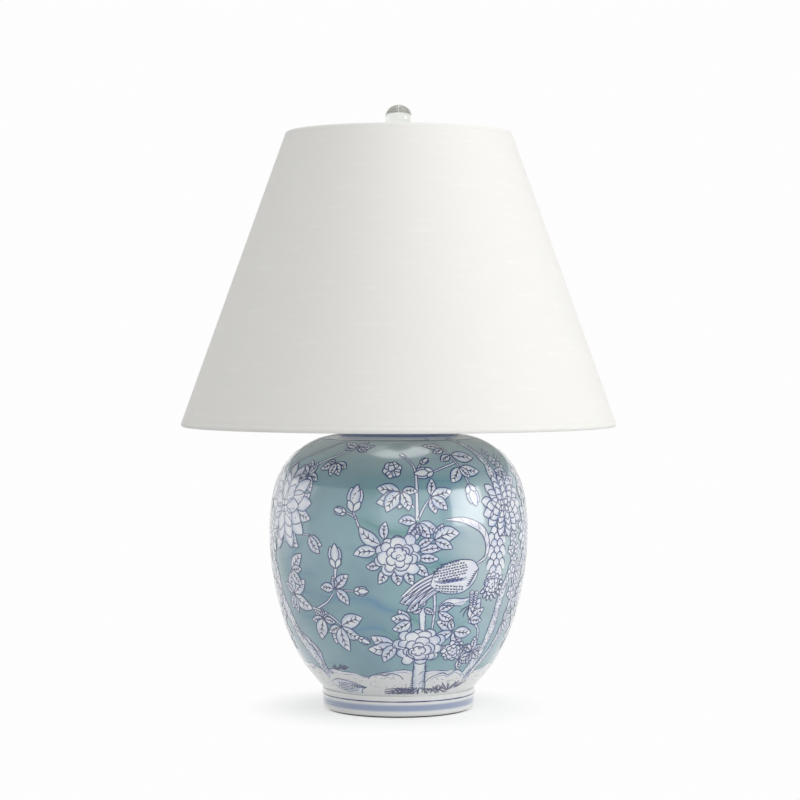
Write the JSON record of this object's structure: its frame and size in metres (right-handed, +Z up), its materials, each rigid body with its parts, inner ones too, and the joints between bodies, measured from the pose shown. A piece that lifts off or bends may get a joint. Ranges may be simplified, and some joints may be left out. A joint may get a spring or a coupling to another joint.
{
  "type": "ginger jar lamp",
  "caption": "Table lamp on a painted ceramic ginger jar, with a plain cloth cone shade on a harp, a turn switch and a clear ball finial.",
  "frame": {"origin": "centre of the felt ring's underside, on the surface that the lamp stands on", "axes": "+Z up along the lamp's axis, -Y the front with the switch knob, +Y the back with the cord gland"},
  "size_m": [0.432, 0.4319, 0.6004],
  "materials": {
    "painted_glaze": "celadon ground with cobalt line drawing and white fills, glossy clear glaze",
    "felt": "pressed wool felt, charcoal",
    "gland_rubber": "pale moulded rubber",
    "soft_washer": "soft black rubber",
    "zinc_steel": "zinc plated",
    "cork": "pressed cork ring",
    "nickel": "satin nickel plate",
    "liner_paper": "vulcanised paper sleeve",
    "phenolic": "moulded phenolic",
    "contact_brass": "bright brass",
    "shaft_steel": "plain steel",
    "knob_plastic": "black moulded plastic",
    "frosted_glass": "inside-frosted glass",
    "clear_glass": "clear glass",
    "bulb_metal": "rolled aluminium",
    "solder": "soldered contact",
    "black_glass": "black glass insulator",
    "lead_wire": "nickel lead wire",
    "white_wire": "white powder coat",
    "shade_cloth": "fine plain woven linen and cotton, off-white",
    "styrene": "translucent white sheet",
    "clear_acrylic": "polished clear acrylic"
  },
  "bodies": {
    "base": {"jar": "painted_glaze", "felt_pad": "felt", "cord_gland": "gland_rubber", "base_rubber_washer": "soft_washer", "base_washer": "zinc_steel", "lock_washer": "zinc_steel", "base_nut": "zinc_steel", "threaded_rod": "zinc_steel", "cap_gasket": "cork", "vase_cap": "nickel", "neck_tube": "nickel", "harp_saddle": "nickel", "socket_cap": "nickel", "socket_set_screw": "nickel", "socket_shell": "nickel", "socket_liner": "liner_paper", "socket_body": "phenolic", "terminal_screws": "contact_brass", "screw_shell": "contact_brass", "centre_contact": "contact_brass"},
    "switch": {"switch_shaft": "shaft_steel", "switch_knob": "knob_plastic"},
    "bulb": {"bulb_glass": "frosted_glass", "bulb_base": "bulb_metal", "bulb_insulator": "black_glass", "bulb_tip": "solder", "bulb_stem": "clear_glass", "bulb_filament": "lead_wire"},
    "harp": {"harp": "nickel"},
    "ferrule_left": {"harp_ferrule_left": "nickel"},
    "ferrule_right": {"harp_ferrule_right": "nickel"},
    "stud": {"harp_stud": "nickel"},
    "shade": {"spider_hub": "white_wire", "spider_arms": "white_wire", "shade_top_ring": "white_wire", "shade_bottom_ring": "white_wire", "shade_fabric": "shade_cloth", "shade_liner": "styrene"},
    "finial": {"finial_base": "nickel", "finial_ball": "clear_acrylic"}
  },
  "joints": [
    {"name": "switch_turn", "type": "hinge", "parent": "base", "child": "switch", "pos_m": [0, -0.01718, 0.3592], "axis": [0, -1, 0], "continuous": true},
    {"name": "bulb_lift", "type": "slide", "parent": "base", "child": "bulb", "axis": [0, 0, 1], "range_m": [0, 0.03]},
    {"name": "harp_lift", "type": "slide", "parent": "base", "child": "harp", "axis": [0, 0, 1], "range_m": [0, 0.03]},
    {"name": "ferrule_left_slide", "type": "slide", "parent": "harp", "child": "ferrule_left", "axis": [0, 0, 1], "range_m": [0, 0.014]},
    {"name": "ferrule_right_slide", "type": "slide", "parent": "harp", "child": "ferrule_right", "axis": [0, 0, 1], "range_m": [0, 0.014]},
    {"name": "shade_swivel", "type": "hinge", "parent": "harp", "child": "stud", "pos_m": [0, 0, 0.5582], "axis": [0, 0, 1], "continuous": true},
    {"name": "shade_lift", "type": "slide", "parent": "stud", "child": "shade", "axis": [0, 0, 1], "range_m": [0, 0.3]},
    {"name": "finial_lift", "type": "slide", "parent": "shade", "child": "finial", "axis": [0, 0, 1], "range_m": [0, 0.03]}
  ]
}
